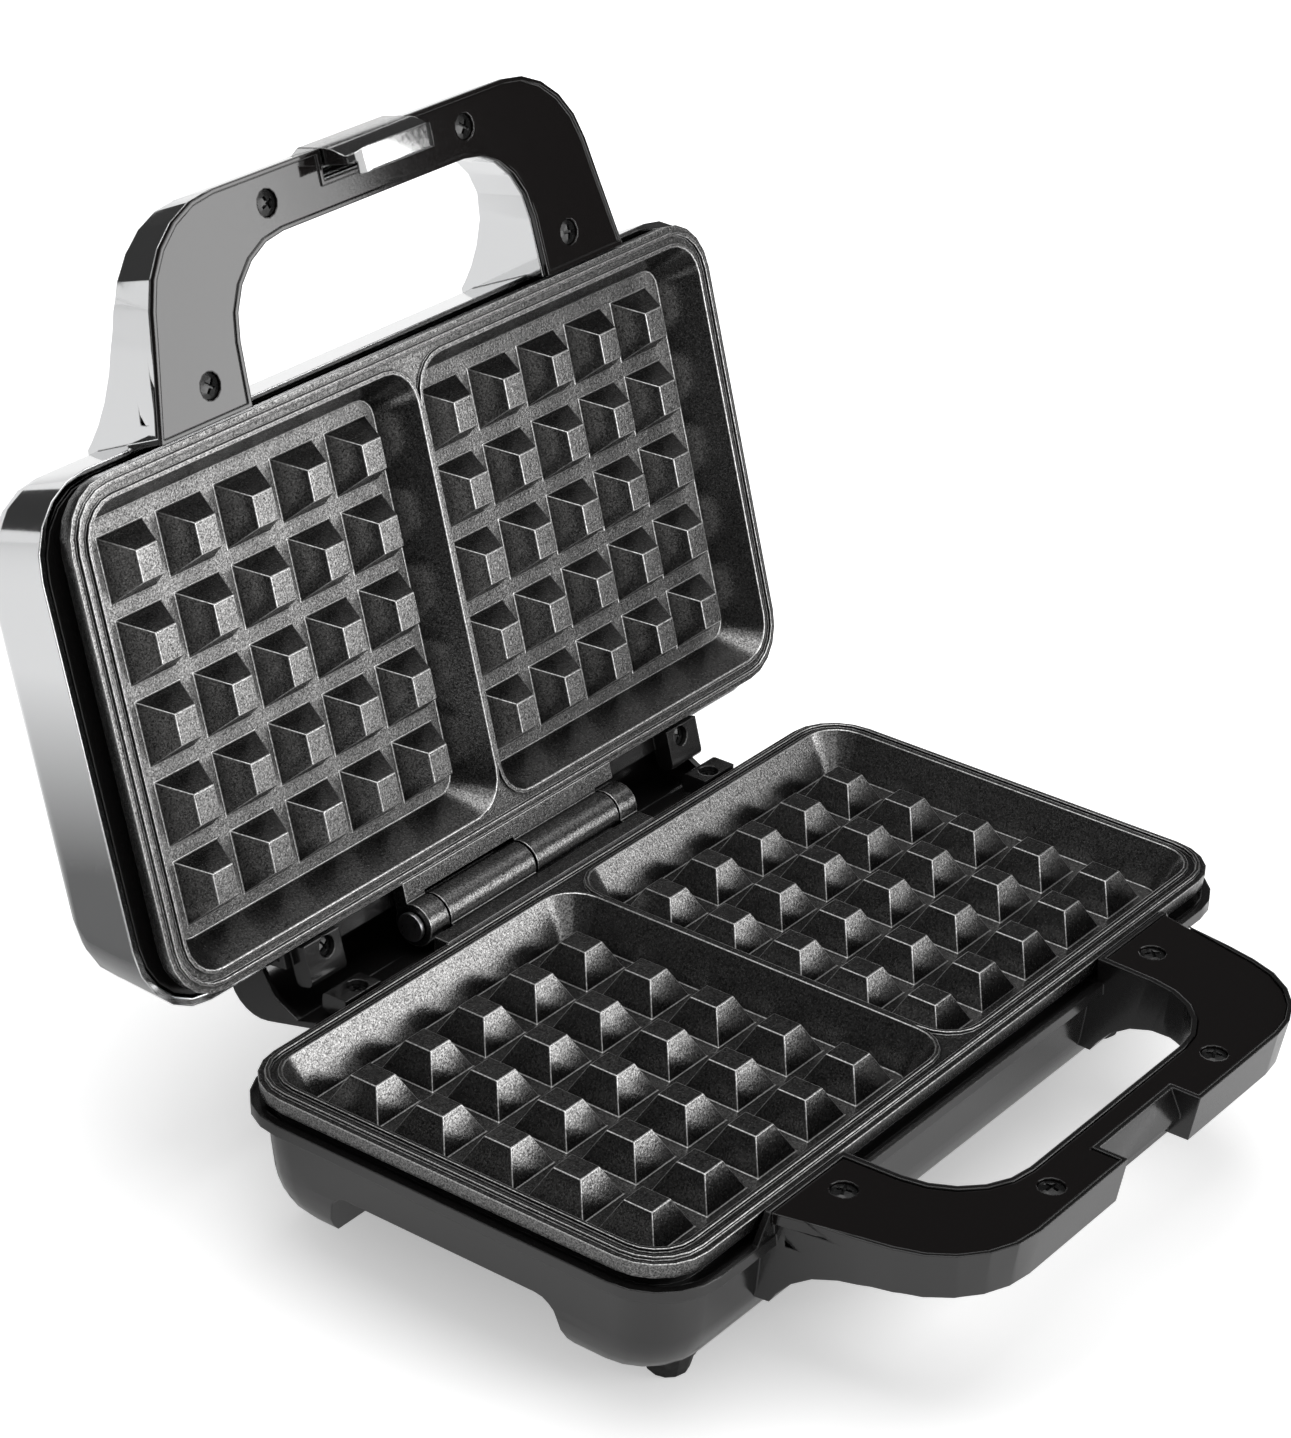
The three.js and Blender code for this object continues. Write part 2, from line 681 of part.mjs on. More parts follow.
function baseCasing() {
  const outer = loft(
    [boxOutline(rimBox, 0, rimCorner), -rimDrop],
    [boxOutline(rimBox, 0, rimCorner), -wallTop],
    ...wallRings(0, 0, 0),
  );
  const ledgeOutline = (inset) => boxOutline(plateBox, inset, plateCorner - ledgeInset);
  const cavity = loft(
    [boxOutline(rimBox, cavityInset, rimCorner - cavityInset), over],
    ...wallRings(casingWall, casingWall, cavityInset),
  );
  const groove = cut(
    slab(boxOutline(rimBox, rimThickness, rimCorner - rimThickness), over, -(rimDrop + grooveDepth)),
    slab(ledgeOutline(ledgeInset), 2 * over, -casingBottom),
  );
  const ledge = cut(
    slab(ledgeOutline(ledgeInset), -ledgeTop, -ledgeBottom),
    slab(ledgeOutline(ledgeInset + ledgeWall), 0, -casingBottom),
  );
  const arch = archProfile(casingWall, -floorDepth);
  const half = rimBox.half;
  const bosses = feet.flatMap(([, x, y]) => sides((end) => (
    post(footTopRadius + footBossWall, -casingBottom, footBossHeight - casingBottom, end * x, y)
  )));
  const stems = feet.flatMap(([, x, y]) => sides((end) => (
    post(footStemRadius + gap, -casingBottom - over, gap + footStemLength - casingBottom, end * x, y)
  )));
  const glandInside = glandSeat - glandLength - over;
  const bossRadius = glandFlange + glandBossRim;
  const boreRadius = glandRadius + gap;
  const glandBoss = glandTurn([
    [0, glandInside], [bossRadius, glandInside], [bossRadius, glandSeat], [0, glandSeat],
  ]);
  const glandHole = glandTurn([
    [0, glandInside], [boreRadius, glandInside], [boreRadius, glandSeat + over], [0, glandSeat + over],
  ]);

  const handle = handleBody(-1, handleEdge, baseRise, baseFade, rimDrop, over);
  const shell = cut(joined(cut(outer, groove), handle, gussets(-1, handleEdge, rimDrop), glandBoss), cavity);
  const earRoot = rimBox.back - rimStep - over;
  const earBack = plateBack + baseEarReach;
  const hingeEars = ears(-1, [
    [earFront, -earFace],
    [earBack, -earFace, earRound],
    [earBack, -earHeight, earRound],
    [earBack - baseEarHeel, -earHeight],
    [rimBox.back, -wallTop],
    [earRoot, -wallTop],
    [earRoot, -rimDrop],
    [earFront, -rimDrop],
  ]);
  const catchProfile = [
    [notchBackY + over, -catchTop],
    [notchBackY, -catchTop],
    [notchBackY - catchReach, -(hookShelf - gap - catchNose)],
    [notchBackY - catchReach, -(hookShelf - gap)],
    [notchBackY + over, -(hookShelf - gap)],
  ];
  const notch = block(
    -notchHalfWidth, notchHalfWidth, handleFrontY - over, notchBackY, -handleStock, over);
  const body = joined(shell, ledge, bar(arch, -half, half).intersect(outer), bosses);
  const slot = bar(archProfile(0, -archDepth), -half - over, half + over);
  const opened = cut(body, slot, handleHollow(-1), notch);
  return cut(
    joined(opened, hingeEars, bar(catchProfile, -notchHalfWidth, notchHalfWidth)), stems, glandHole);
}

// profile [radius, y] turned about the gland's axis
function glandTurn(profile) {
  const points = profile.map(([radius, y]) => new THREE.Vector2(radius, y));
  const geometry = new THREE.LatheGeometry(points, 16);
  geometry.translate(glandX, 0, -glandDepth);
  return solid(geometry);
}

const gland = () => glandTurn([
  [glandBore, glandSeat - glandLength],
  [glandRadius, glandSeat - glandLength],
  [glandRadius, glandSeat + gap],
  [glandFlange, glandSeat + gap],
  [glandFlange - glandBevel, glandSeat + gap + glandProud],
  [glandBore, glandSeat + gap + glandProud],
  [glandBore, glandSeat - glandLength],
]);

const foot = (x, y) => turned([
  [0, -standHeight],
  [footTipRadius - footEdge, -standHeight],
  [footTipRadius, -standHeight + footEdge],
  [footTopRadius, -casingBottom - gap],
  [footStemRadius, -casingBottom - gap],
  [footStemRadius, footStemLength - casingBottom],
  [0, footStemLength - casingBottom],
], x, y);

// ---------------------------------------------------------------- lid
function shellRings(inset, lift) {
  const wallEnd = shellTop - shellRound;
  const rings = [
    [boxOutline(shellBox, inset, shellCorner - inset), shellRim],
    [boxOutline(shellBox, inset + shellDraft, shellCorner - inset), wallEnd],
  ];
  const steps = 5;
  for (let k = 1; k <= steps; k += 1) {
    const angle = (Math.PI / 2) * (k / steps);
    const run = (shellRound - inset) * (1 - Math.cos(angle)) + shellDraft + inset;
    rings.push([
      boxOutline(shellBox, run, shellCorner - inset),
      wallEnd + (shellRound - lift) * Math.sin(angle),
    ]);
  }
  rings.push([boxOutline(shellBox, crownInset, shellCorner), shellTop + shellCrown - lift]);
  return rings;
}

function lidShell() {
  const inner = shellRings(shellWall, shellWall);
  inner[0][1] = shellRim - over;
  const latchPinY = handleFrontY + latchPinReach;
  const pinReach = notchHalfWidth + latchPinSeat + gap;
  const notch = block(
    -notchHalfWidth, notchHalfWidth, handleFrontY - over, notchBackY, -over, bridgeHeight);
  const lensHoles = sides((end) => post(lensRadius + gap, floorDepth, through, end * lensX, lensY));
  const handle = handleBody(1, shellHandleEdge, lidRise, lidFade, shellRim, 3);
  const outer = joined(loft(...shellRings(0, 0)), handle, gussets(1, shellHandleEdge, shellRim));
  return cut(
    outer,
    loft(...inner),
    handleHollow(1),
    notch,
    rodAlongX(latchPinRadius + gap, -pinReach, pinReach, latchPinY, latchPinHeight),
    lensHoles,
  );
}

// hood hollowed from below, its front wall along the shell's leaning back
function hood() {
  const lean = shellDraft / (shellTop - shellRound - shellRim);
  const front = (z) => shellBox.back + gap - lean * (z - shellRim);
  const lipY = hingeY + hoodReach;
  const eaveY = lipY - hoodLean;
  const within = hoodHalfWidth - hoodWall;
  const outer = [
    [front(hoodTop), hoodTop],
    [front(hoodBrow), hoodBrow],
    [hingeY + hoodShoulderReach, hoodShoulder, hoodShoulderRound, 3],
    [lipY - hoodWall, hoodCheekEnd],
    [lipY - hoodWall, hoodLip],
    [lipY, hoodLip],
    [eaveY, hoodEave, hoodRound],
  ];
  const inner = [
    [front(hoodTop) + hoodWall, hoodTop - hoodWall],
    [front(0) + hoodWall, hoodLip - over],
    [lipY - hoodWall, hoodLip - over],
    [eaveY - hoodWall, hoodEave - hoodWall, hoodRound - hoodWall],
  ];
  const webTop = shellRim - gap;
  const wall = [
    [front(ledgeTop), ledgeTop],
    [front(ledgeTop) + hoodWall, ledgeTop],
    [front(hoodBrow) + hoodWall, hoodBrow + over],
    [front(hoodBrow), hoodBrow + over],
  ];
  const webFront = plateBack - ledgeInset - over;
  return joined(
    cut(bar(rounded(outer, 6), -hoodHalfWidth, hoodHalfWidth), bar(rounded(inner, 6), -within, within)),
    bar(wall, -within, within),
    block(-within, within, webFront, front(webTop) + hoodWall, ledgeTop, webTop),
  );
}

function lidFrame() {
  const face = shellRim + gap;
  const leanIn = shellDraft * (gap + frameLip) / (shellTop - shellRound - shellRim);
  const ringInset = shellWall + gap + leanIn;
  const ledgeOutline = (inset) => boxOutline(plateBox, inset, plateCorner - ledgeInset);
  const ring = joined(
    slab(boxOutline(shellBox, ringInset, shellCorner - shellWall), face, face + frameLip),
    slab(ledgeOutline(ledgeInset), ledgeTop, face + frameLip),
    hood(),
  );
  const mouth = slab(ledgeOutline(ledgeInset + ledgeWall), 0, through);
  const earBack = plateBack + lidEarReach;
  const hingeEars = ears(1, [
    [earFront, earFace],
    [earBack, earFace, earRound],
    [earBack, earHeight, earRound],
    [earFront, earHeight],
  ]);
  return joined(cut(ring, mouth), hingeEars);
}

const lens = (x) => {
  const flangeTop = shellTop - shellWall - gap;
  const stemEnd = flangeTop - lensFlange - lensStemLength;
  const crown = shellTop + shellCrown + lensProud;
  return turned([
    [0, stemEnd],
    [lensStemRadius, stemEnd],
    [lensStemRadius, flangeTop - lensFlange],
    [lensRadius + lensFlangeWidth, flangeTop - lensFlange],
    [lensRadius + lensFlangeWidth, flangeTop],
    [lensRadius, flangeTop],
    [lensRadius, crown],
    [lensRadius * 0.6, crown + lensDome * 0.7],
    [0, crown + lensDome],
  ], x, lensY);
};

// ---------------------------------------------------------------- latch
// the latch's outside, a flat face that rolls in and flares into a lip: [behind the handle, height]
const latchCurve = new THREE.SplineCurve([
  [-latchNose, latchPinHeight], [0, 3.2], [0.4, -1.6], [1.4, -4.2], [2.3, -6], [2, -7.8],
  [1, -(hookShelf + hookSkin)],
].map(([reach, z]) => new THREE.Vector2(handleFrontY + reach, z)));

function latch() {
  const pinY = handleFrontY + latchPinReach;
  const half = notchHalfWidth - notchClearance;
  const heel = -(hookShelf + hookSkin);
  const tip = handleFrontY + hookReach;
  const curve = latchCurve.getPoints(14);
  const face = curve.map((point) => [point.x, point.y]);
  const inside = curve.filter((point) => point.y > latchSkin - hookShelf).reverse();
  const strip = [
    ...face,
    [tip - hookSkin / 3, heel],
    [tip, heel + hookSkin / 3],
    [tip, -hookShelf],
    [inside[0].x + latchSkin, -hookShelf],
    ...inside.map((point) => [point.x + latchSkin, point.y]),
  ];
  const edgeY = handleFrontY + latchCheekReach;
  const cheek = [...face, [edgeY, heel], [edgeY, latchPinHeight]];
  const web = [
    [handleFrontY - latchNose, latchPinHeight],
    [handleFrontY + latchSkin / 2, latchPinHeight - latchBarrelRadius],
    [pinY, latchPinHeight - latchBarrelRadius],
    [pinY, latchPinHeight + latchBarrelRadius],
    [handleFrontY + latchSkin, latchPinHeight + latchBarrelRadius - latchNose],
  ];
  const skirt = joined(
    bar(strip, -half, half),
    sides((end) => bar(cheek, end * half, end * (half - latchCheek))),
  );
  const rise = latchPinHeight + over;
  const lipPlan = rounded([
    [-half, heel, fingerLipRound], [half, heel, fingerLipRound], [half, rise], [-half, rise],
  ], 4);
  return cut(
    joined(
      skirt.intersect(panel(lipPlan, handleRootY, through)),
      bar(web, -half, half),
      rodAlongX(latchBarrelRadius, -half, half, pinY, latchPinHeight),
    ),
    rodAlongX(latchPinRadius + gap, -half - over, half + over, pinY, latchPinHeight),
  );
}

function latchPin() {
  const reach = notchHalfWidth + latchPinSeat;
  return rodAlongX(latchPinRadius, -reach, reach, handleFrontY + latchPinReach, latchPinHeight);
}

// ---------------------------------------------------------------- heating, drawn for the base
function heater() {
  const path = rounded([
    [-heaterEndX, heaterHalfY],
    [-heaterHalfX, heaterHalfY, heaterCorner],
    [-heaterHalfX, -heaterHalfY, heaterCorner],
    [heaterHalfX, -heaterHalfY, heaterCorner],
    [heaterHalfX, heaterHalfY, heaterCorner],
    [heaterEndX, heaterHalfY],
  ], 3);
  const rings = path.map(([x, y], i) => {
    const [bx, by] = path[Math.max(i - 1, 0)];
    const [ax, ay] = path[Math.min(i + 1, path.length - 1)];
    const along = new THREE.Vector2(ax - bx, ay - by).normalize();
    return Array.from({ length: heaterSides }, (_, k) => {
      const angle = (2 * Math.PI * k) / heaterSides;
      const u = heaterRadius * Math.cos(angle);
      const v = heaterRadius * Math.sin(angle);
      return { x: x - along.y * u, y: y + along.x * u, z: v - heaterDepth, u, v };
    });
  });
  return skin(rings);
}

function clamp(x) {
  const top = -(panBottom + gap);
  const reach = heaterRadius + gap;
  const saddle = (y, radius) => {
    const points = [[y - radius, top], [y + radius, top]];
    for (let k = 0; k <= 6; k += 1) {
      const angle = -(Math.PI * k) / 6;
      points.push([y + radius * Math.cos(angle), -heaterDepth + radius * Math.sin(angle)]);
    }
    return points;
  };
  const span = (y0, y1) => rectangle(y0, y1, top - clampThickness, top);
  const outer = heaterHalfY + reach + clampTab;
  const inner = heaterHalfY - reach;
  const saddles = sides((end) => bar(saddle(end * heaterHalfY, reach + clampThickness), x - clampWidth / 2,
    x + clampWidth / 2));
  const tubes = sides((end) => bar(saddle(end * heaterHalfY, reach), x - clampWidth, x + clampWidth));
  const strap = [span(-outer, -heaterHalfY), span(-inner, inner), span(heaterHalfY, outer)].map((profile) => (
    bar(profile, x - clampWidth / 2, x + clampWidth / 2)
  ));
  return cut(joined(saddles, strap), tubes);
}

function reflector() {
  const reach = heaterHalfY + trayMarginY;
  const tray = { half: plateHalfWidth - trayInsetX, front: -reach, back: reach };
  const outline = (inset) => boxOutline(tray, inset, trayCorner - inset);
  const bottom = -(trayFace + trayThickness);
  return cut(
    loft([outline(trayFlare), bottom], [outline(0), bottom + trayRim]),
    loft([outline(trayFlare + trayThickness), -trayFace], [outline(trayThickness), bottom + trayRim + over]),
  );
}

const thermostat = () => turned([
  [0, -(panBottom + gap)],
  [sensorRadius, -(panBottom + gap)],
  [sensorRadius, -(panBottom + gap + sensorCap)],
  [sensorRadius - sensorStep, -(panBottom + gap + sensorCap)],
  [sensorRadius - sensorStep, -clampDepth],
  [0, -clampDepth],
]);

function thermalCutout() {
  const z = -(panBottom + gap + fuseRadius);
  const reach = fuseHalfLength + fuseLead;
  return joined(
    rodAlongX(fuseRadius, -fuseHalfLength, fuseHalfLength, 0, z, 12),
    rodAlongX(fuseRadius / 3, -reach, reach, 0, z, 8),
  );
}

// screw terminals side by side, on the floor of the rear rail
function terminalBlock() {
  const floor = -(casingBottom - casingWall - gap);
  const top = floor + blockHeight;
  const front = archBack + archLean + casingWall + blockSpacing;
  const body = block(-blockHalfLength, blockHalfLength, front, front + blockWidth, floor, top);
  const pitch = (2 * blockHalfLength) / blockWays;
  const slots = Array.from({ length: blockWays - 1 }, (_, k) => {
    const x = -blockHalfLength + (k + 1) * pitch;
    const [x0, x1] = [x - blockSlotWidth / 2, x + blockSlotWidth / 2];
    return block(x0, x1, front - over, front + blockWidth + over, top - blockSlotDepth, top + over);
  });
  const wells = Array.from({ length: blockWays }, (_, k) => {
    const x = -blockHalfLength + (k + 0.5) * pitch;
    return post(blockWellRadius, top - blockWellDepth, top + over, x, front + blockWidth / 2, 10);
  });
  return cut(body, slots, wells);
}

// ---------------------------------------------------------------- finishes
const finish = (color, roughness, metalness) => () => (
  new THREE.MeshStandardMaterial({ color, roughness, metalness })
);
const blackPlastic = finish(0x1c1a1a, 0.35, 0);
const glossBlack = finish(0x141212, 0.15, 0);
const brightPlating = finish(0xd2d4d6, 0.12, 1);
const polished = finish(0xc8cacc, 0.15, 1);
const nonStick = finish(0x3a3836, 0.5, 0.2);
const steel = finish(0xa8a9aa, 0.3, 1);
const brightSheet = finish(0xbfc1c3, 0.25, 1);
const rubber = finish(0x181818, 0.8, 0);
const ceramic = finish(0xd8d2c2, 0.6, 0);
const redLens = finish(0xa01812, 0.15, 0);
const greenLens = finish(0x1f7a34, 0.15, 0);

function piece(name, body, material) {
  const { vertProperties, triVerts } = body.getMesh();
  const geometry = new THREE.BufferGeometry();
  geometry.setAttribute('position', new THREE.BufferAttribute(new Float32Array(vertProperties), 3));
  geometry.setIndex(new THREE.BufferAttribute(new Uint32Array(triVerts), 1));
  geometry.computeVertexNormals();
  const mesh = new THREE.Mesh(geometry, material());
  mesh.name = name;
  return mesh;
}

// a base piece turned over for the lid
function overturned(mesh) {
  mesh.rotation.y = Math.PI;
  return mesh;
}

// ---------------------------------------------------------------- assembly
const plateBody = plate();
const heaterBody = heater();
const reflectorBody = reflector();
const ends = [['left', -1], ['right', 1]];

const base = new THREE.Group();
base.position.z = standHeight;
base.add(
  piece('base_casing', baseCasing(), blackPlastic),
  piece('base_handle_cover', handleCover(-1, false), glossBlack),
  piece('base_plate', plateBody, nonStick),
  piece('base_element', heaterBody, steel),
  piece('base_reflector', reflectorBody, brightSheet),
  piece('thermal_cutout', thermalCutout(), ceramic),
  piece('terminal_block', terminalBlock(), ceramic),
  piece('cord_gland', gland(), rubber),
  piece('hinge_pin', hingePin(), steel),
);

const lid = new THREE.Group();
lid.position.y = -hingeY;
lid.add(
  piece('lid_shell', lidShell(), brightPlating),
  piece('lid_frame', lidFrame(), blackPlastic),
  piece('lid_handle_cover', handleCover(1, true), glossBlack),
  overturned(piece('lid_plate', plateBody, nonStick)),
  overturned(piece('lid_element', heaterBody, steel)),
  overturned(piece('lid_reflector', reflectorBody, brightSheet)),
  overturned(piece('thermostat', thermostat(), ceramic)),
  piece('power_lens', lens(-lensX), redLens),
  piece('ready_lens', lens(lensX), greenLens),
  piece('latch_pin', latchPin(), steel),
  piece('latch', latch(), polished),
);

ends.forEach(([end, side]) => {
  base.add(piece(`base_element_clamp_${end}`, clamp(side * clampX), brightSheet));
  lid.add(overturned(piece(`lid_element_clamp_${end}`, clamp(-side * clampX), brightSheet)));
  feet.forEach(([name, x, y]) => base.add(piece(`${name}_${end}`, foot(side * x, y), rubber)));
});

const lidPivot = new THREE.Group();
lidPivot.position.set(0, hingeY, standHeight);
lidPivot.rotation.x = -THREE.MathUtils.degToRad(openAngle);
lidPivot.add(lid);

const waffleMaker = new THREE.Group();
waffleMaker.add(base, lidPivot);

const middle = new THREE.Box3().setFromObject(waffleMaker, true).getCenter(new THREE.Vector3());
waffleMaker.position.set(-middle.x, -middle.y, 0);

export default waffleMaker;
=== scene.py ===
"""Looks of an open two-slice waffle maker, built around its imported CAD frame. Metres, +Z up."""

import json
import math

import bmesh
import bpy
from mathutils import Euler, Matrix, Vector


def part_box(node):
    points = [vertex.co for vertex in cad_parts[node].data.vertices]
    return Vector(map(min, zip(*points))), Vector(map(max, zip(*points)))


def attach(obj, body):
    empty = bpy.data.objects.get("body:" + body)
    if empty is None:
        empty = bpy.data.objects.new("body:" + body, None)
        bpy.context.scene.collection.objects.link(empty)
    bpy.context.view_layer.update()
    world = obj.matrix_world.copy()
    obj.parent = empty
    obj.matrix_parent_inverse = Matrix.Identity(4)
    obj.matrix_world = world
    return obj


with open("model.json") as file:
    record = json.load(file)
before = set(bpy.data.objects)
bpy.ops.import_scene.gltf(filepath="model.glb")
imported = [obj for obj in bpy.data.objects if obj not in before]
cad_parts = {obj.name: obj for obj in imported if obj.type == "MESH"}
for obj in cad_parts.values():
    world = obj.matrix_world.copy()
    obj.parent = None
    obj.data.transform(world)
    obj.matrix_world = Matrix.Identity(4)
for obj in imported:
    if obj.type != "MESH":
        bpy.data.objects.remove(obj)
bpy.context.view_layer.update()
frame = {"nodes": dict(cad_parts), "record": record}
MM = 0.001

# the lid stands open at rest and its hinge closes it, so opening turns the other way
JOINTS = {joint["name"]: joint for joint in frame["record"]["behaviour"]["joints"]}
AXIS = Vector(JOINTS["lid_hinge"]["pos_m"])
OPENING = math.radians(JOINTS["lid_hinge"]["range_deg"][1])
PARTING = AXIS.z
TURN_OPEN = (
    Matrix.Translation(AXIS) @ Matrix.Rotation(-OPENING, 4, "X") @ Matrix.Translation(-AXIS)
)


# ------------------------------------------------------------------ camera
CAMERA_PLACE = (-0.66175, -0.45887, 0.5203)
CAMERA_DEGREES = (62.484, -1.942, -53.029)
LENS_MM = 101.47
SENSOR_MM = 36


def make_camera():
    data = bpy.data.cameras.new("camera")
    data.sensor_width = SENSOR_MM
    data.lens = LENS_MM
    camera = bpy.data.objects.new("camera", data)
    bpy.context.scene.collection.objects.link(camera)
    camera.location = CAMERA_PLACE
    camera.rotation_euler = Euler([math.radians(angle) for angle in CAMERA_DEGREES])
    bpy.context.scene.camera = camera


# ------------------------------------------------------------------ node helpers
MIX_FACTOR, MIX_A, MIX_B = 0, 6, 7     # sockets of a Mix node set to colours
MIX_RESULT = 2
NOISE_LOW, NOISE_HIGH = 0.3, 0.7       # band that holds nearly all of a noise


def new_material(name):
    material = bpy.data.materials.new(name)
    material.use_nodes = True
    tree = material.node_tree
    return material, tree, tree.nodes["Principled BSDF"]


def add_noise(tree, scale, detail=3, rough=0.5):
    where = tree.nodes.new("ShaderNodeTexCoord")
    noise = tree.nodes.new("ShaderNodeTexNoise")
    noise.inputs["Scale"].default_value = scale
    noise.inputs["Detail"].default_value = detail
    noise.inputs["Roughness"].default_value = rough
    tree.links.new(where.outputs["Object"], noise.inputs["Vector"])
    return noise.outputs["Fac"]


def remap(tree, value, low, high, to_low, to_high):
    node = tree.nodes.new("ShaderNodeMapRange")
    node.inputs["From Min"].default_value = low
    node.inputs["From Max"].default_value = high
    node.inputs["To Min"].default_value = to_low
    node.inputs["To Max"].default_value = to_high
    tree.links.new(value, node.inputs["Value"])
    return node.outputs["Result"]


# a noise stretched over the given band
def spread(tree, noise, to_low, to_high):
    return remap(tree, noise, NOISE_LOW, NOISE_HIGH, to_low, to_high)


def combine(tree, operation, first, second):
    node = tree.nodes.new("ShaderNodeMath")
    node.operation = operation
    tree.links.new(first, node.inputs[0])
    tree.links.new(second, node.inputs[1])
    return node.outputs[0]


def mix_colour(tree, factor, a, b):
    node = tree.nodes.new("ShaderNodeMix")
    node.data_type = "RGBA"
    node.inputs[MIX_A].default_value = (*a, 1)
    node.inputs[MIX_B].default_value = (*b, 1)
    tree.links.new(factor, node.inputs[MIX_FACTOR])
    return node.outputs[MIX_RESULT]


def add_bump(tree, shader, height, strength, distance, over=None):
    node = tree.nodes.new("ShaderNodeBump")
    node.inputs["Strength"].default_value = strength
    node.inputs["Distance"].default_value = distance
    tree.links.new(height, node.inputs["Height"])
    if over:
        tree.links.new(over, node.inputs["Normal"])
    tree.links.new(node.outputs["Normal"], shader.inputs["Normal"])


def distance_from_middle(tree):
    where = tree.nodes.new("ShaderNodeTexCoord")
    away = tree.nodes.new("ShaderNodeVectorMath")
    away.operation = "LENGTH"
    tree.links.new(where.outputs["Object"], away.inputs[0])
    return away.outputs["Value"]


# ------------------------------------------------------------------ materials
EDGE_RADIUS = 0.5 * MM
EDGE_SAMPLES = 6

COATING_DARK = (0.03, 0.0296, 0.0292)
COATING_GRAIN = (0.31, 0.307, 0.304)
# lighter edge colours: partly wear, partly a painted highlight along the edges
WORN_HIGHLIT_DARK = (0.26, 0.258, 0.256)
WORN_HIGHLIT_GRAIN = (0.72, 0.716, 0.712)

# noise scales: the spots of a noise are about one part in this many of a metre
CHROME_SCALE = 900
MOULDED_SCALE = 1500
PLAIN_SCALE = 700
GRAIN_SCALE = 2500
UNEVEN_SCALE = 1500
WORN_HIGHLIT_SCALE = 2400

# Painted shade in the hollows: how far a wall can be to shelter a spot from light, how open the
# most sheltered spot and an unshaded one are, and the share of its colour that the most sheltered
# spot keeps.
GROOVE_SHADES = (
    {"reach": 1.2 * MM, "sheltered": 0.5, "unshaded": 0.95, "left": 0.1},
    {"reach": 8 * MM, "sheltered": 0.3, "unshaded": 0.95, "left": 0.25},
)
GROOVE_SHADE_SAMPLES = 6


# surface direction turned smoothly round the sharp edges
def soft_edges(tree):
    node = tree.nodes.new("ShaderNodeBevel")
    node.samples = EDGE_SAMPLES
    node.inputs["Radius"].default_value = EDGE_RADIUS
    return node.outputs["Normal"]


def chrome(name, colour, rough_low, rough_high):
    material, tree, shader = new_material(name)
    shader.inputs["Base Color"].default_value = (*colour, 1)
    shader.inputs["Metallic"].default_value = 1
    fine = add_noise(tree, CHROME_SCALE, 2)
    tree.links.new(spread(tree, fine, rough_low, rough_high), shader.inputs["Roughness"])
    tree.links.new(soft_edges(tree), shader.inputs["Normal"])
    return material


def moulded(name, colour, rough_low, rough_high, specular):
    material, tree, shader = new_material(name)
    fine = add_noise(tree, MOULDED_SCALE, 3)
    shaded = tuple(c * 0.85 for c in colour)
    tint = mix_colour(tree, spread(tree, fine, 0, 1), colour, shaded)
    tree.links.new(tint, shader.inputs["Base Color"])
    shader.inputs["Specular IOR Level"].default_value = specular
    tree.links.new(spread(tree, fine, rough_low, rough_high), shader.inputs["Roughness"])
    add_bump(tree, shader, fine, strength=0.03, distance=0.1 * MM, over=soft_edges(tree))
    return material


# painted shade: darkens a colour where walls shelter it from light, in the grooves and low between
# the studs
def paint_groove_shade(tree, colour):
    shares = []
    for groove_shade in GROOVE_SHADES:
        node = tree.nodes.new("ShaderNodeAmbientOcclusion")
        node.samples = GROOVE_SHADE_SAMPLES
        node.inputs["Distance"].default_value = groove_shade["reach"]
        openness = node.outputs["AO"]
        shares.append(remap(tree, openness, groove_shade["sheltered"], groove_shade["unshaded"], groove_shade["left"], 1))
    mix = tree.nodes.new("ShaderNodeMix")
    mix.data_type = "RGBA"
    mix.inputs[MIX_A].default_value = (0, 0, 0, 1)
    tree.links.new(colour, mix.inputs[MIX_B])
    tree.links.new(combine(tree, "MULTIPLY", *shares), mix.inputs[MIX_FACTOR])
    return mix.outputs[MIX_RESULT]


# dark coating full of fine metallic grains
def non_stick():
    material, tree, shader = new_material("non_stick")
    grain = add_noise(tree, GRAIN_SCALE, 2, 0.7)
    fleck = remap(tree, grain, 0.36, 0.72, 0, 1)
    colour = mix_colour(tree, fleck, COATING_DARK, COATING_GRAIN)
    # painted shade darkens the coating's colour in the grooves and between the studs
    tree.links.new(paint_groove_shade(tree, colour), shader.inputs["Base Color"])
    shader.inputs["Metallic"].default_value = 0.94
    shader.inputs["Specular IOR Level"].default_value = 0.8
    uneven = add_noise(tree, UNEVEN_SCALE, 3)
    tree.links.new(spread(tree, uneven, 0.21, 0.29), shader.inputs["Roughness"])
    add_bump(tree, shader, uneven, strength=0.28, distance=0.14 * MM)
    return material


# the same coating rubbed bright along the edges, partly wear and partly a painted highlight: the
# lighter colour stands in for light the rounded edges catch
def worn_highlit_edge():
    material, tree, shader = new_material("worn_highlit_edge")
    speck = add_noise(tree, WORN_HIGHLIT_SCALE, 2)
    colour = mix_colour(tree, remap(tree, speck, 0.35, 0.65, 0, 1), WORN_HIGHLIT_DARK, WORN_HIGHLIT_GRAIN)
    # painted shade darkens the edges' colour where they run into the grooves
    tree.links.new(paint_groove_shade(tree, colour), shader.inputs["Base Color"])
    shader.inputs["Metallic"].default_value = 0.88
    shader.inputs["Roughness"].default_value = 0.3
    return material


